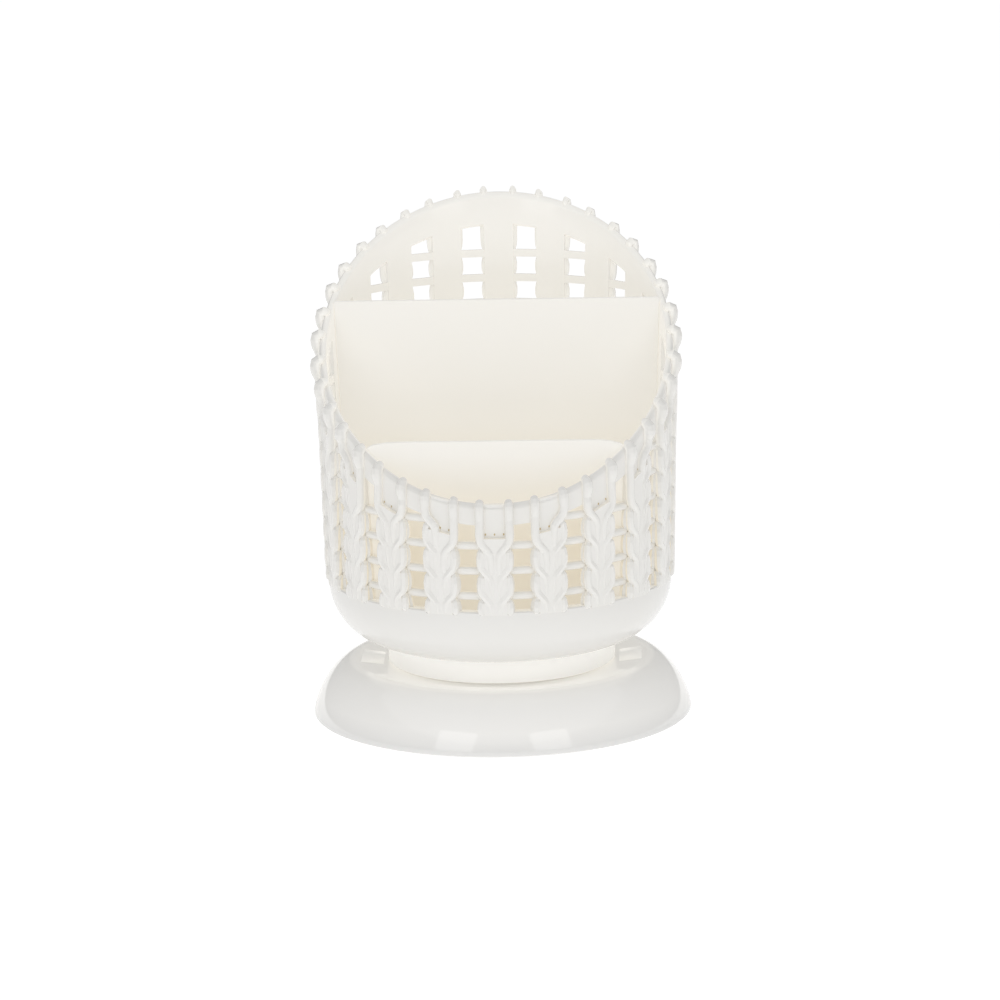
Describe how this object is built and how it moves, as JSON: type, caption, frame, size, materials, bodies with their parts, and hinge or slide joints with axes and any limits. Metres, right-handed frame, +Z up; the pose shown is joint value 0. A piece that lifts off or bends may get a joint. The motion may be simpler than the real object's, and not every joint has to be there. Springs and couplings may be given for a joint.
{
  "type": "rotating pencil cup",
  "caption": "Woven-look desk cup with a slanted mouth and divided inside, turning on a ball bearing over a domed base.",
  "frame": {"origin": "on the table under the middle of the base", "axes": "+Z up along the turning axis; -Y towards the low front of the slanted mouth; +X to the right seen from the front"},
  "size_m": [0.1156, 0.1156, 0.1542],
  "materials": {
    "basket_plastic": "semi-gloss moulded weave",
    "divider_plastic": "satin",
    "base_plastic": "high gloss",
    "nylon": "natural nylon",
    "race_steel": "zinc plated",
    "ball_steel": "polished",
    "screw_steel": "zinc plated",
    "foot_pad": "closed-cell foam rubber"
  },
  "bodies": {
    "base": {"base_dome": "base_plastic", "lower_race": "race_steel", "foot_1": "foot_pad", "foot_2": "foot_pad", "foot_3": "foot_pad", "foot_4": "foot_pad"},
    "cup": {"woven_cup": "basket_plastic", "rear_divider": "divider_plastic", "front_divider": "divider_plastic", "neck_collar": "base_plastic", "upper_race": "race_steel", "collar_screw_1": "screw_steel", "collar_screw_2": "screw_steel", "collar_screw_3": "screw_steel", "pivot_washer": "nylon", "pivot_screw": "screw_steel"},
    "cage": {"ball_cage": "nylon", "ball_01": "ball_steel", "ball_02": "ball_steel", "ball_03": "ball_steel", "ball_04": "ball_steel", "ball_05": "ball_steel", "ball_06": "ball_steel", "ball_07": "ball_steel", "ball_08": "ball_steel", "ball_09": "ball_steel", "ball_10": "ball_steel", "ball_11": "ball_steel", "ball_12": "ball_steel"}
  },
  "joints": [
    {"name": "cup_spin", "type": "hinge", "parent": "base", "child": "cup", "pos_m": [0, 0, 0.018], "axis": [0, 0, 1], "continuous": true},
    {"name": "cage_spin", "type": "hinge", "parent": "base", "child": "cage", "pos_m": [0, 0, 0.018], "axis": [0, 0, 1], "continuous": true}
  ],
  "couplings": [
    {"joint": "cage_spin", "follows": "cup_spin", "ratio": 0.5}
  ]
}
